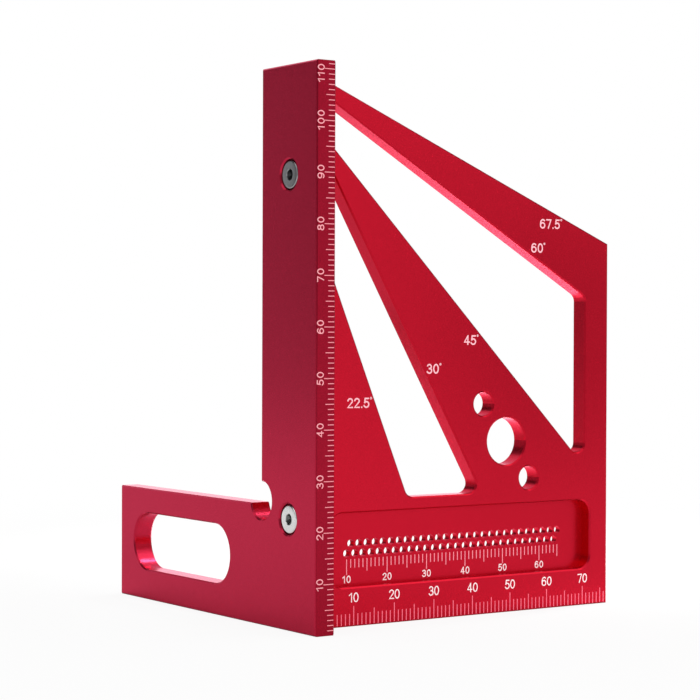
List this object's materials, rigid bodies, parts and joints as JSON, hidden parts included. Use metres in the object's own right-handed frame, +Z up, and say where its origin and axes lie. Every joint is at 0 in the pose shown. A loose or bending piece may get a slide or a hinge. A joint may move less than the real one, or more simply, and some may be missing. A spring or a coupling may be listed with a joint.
{
  "type": "mitre set square",
  "caption": "Mitre set square: an L-shaped metal fence screwed square to a windowed angle plate, with millimetre scales, leaning edges for common angles and rows of scribing holes.",
  "frame": {"origin": "the zero of both scales: on the foot, where the fence's inner face meets the middle of the angle plate's thickness", "axes": "+X out along the angle plate, away from the fence; +Y through the plate's thickness, from the scale face towards the leg; +Z up the bar"},
  "size_m": [0.0815, 0.0794, 0.1117],
  "materials": {
    "red_anodised": "bead blasted and anodised, satin",
    "screw_steel": "turned stainless steel"
  },
  "bodies": {
    "square": {"fence": "red_anodised", "angle_plate": "red_anodised"},
    "upper_screw": {"upper_screw": "screw_steel"},
    "lower_screw": {"lower_screw": "screw_steel"}
  },
  "joints": [
    {"name": "upper_screw_turn", "type": "hinge", "parent": "square", "child": "upper_screw", "pos_m": [-0.0045, 0, 0.09], "axis": [-1, 0, 0], "range_deg": [0, 450]},
    {"name": "lower_screw_turn", "type": "hinge", "parent": "square", "child": "lower_screw", "pos_m": [-0.0045, 0, 0.022], "axis": [-1, 0, 0], "range_deg": [0, 450]}
  ]
}
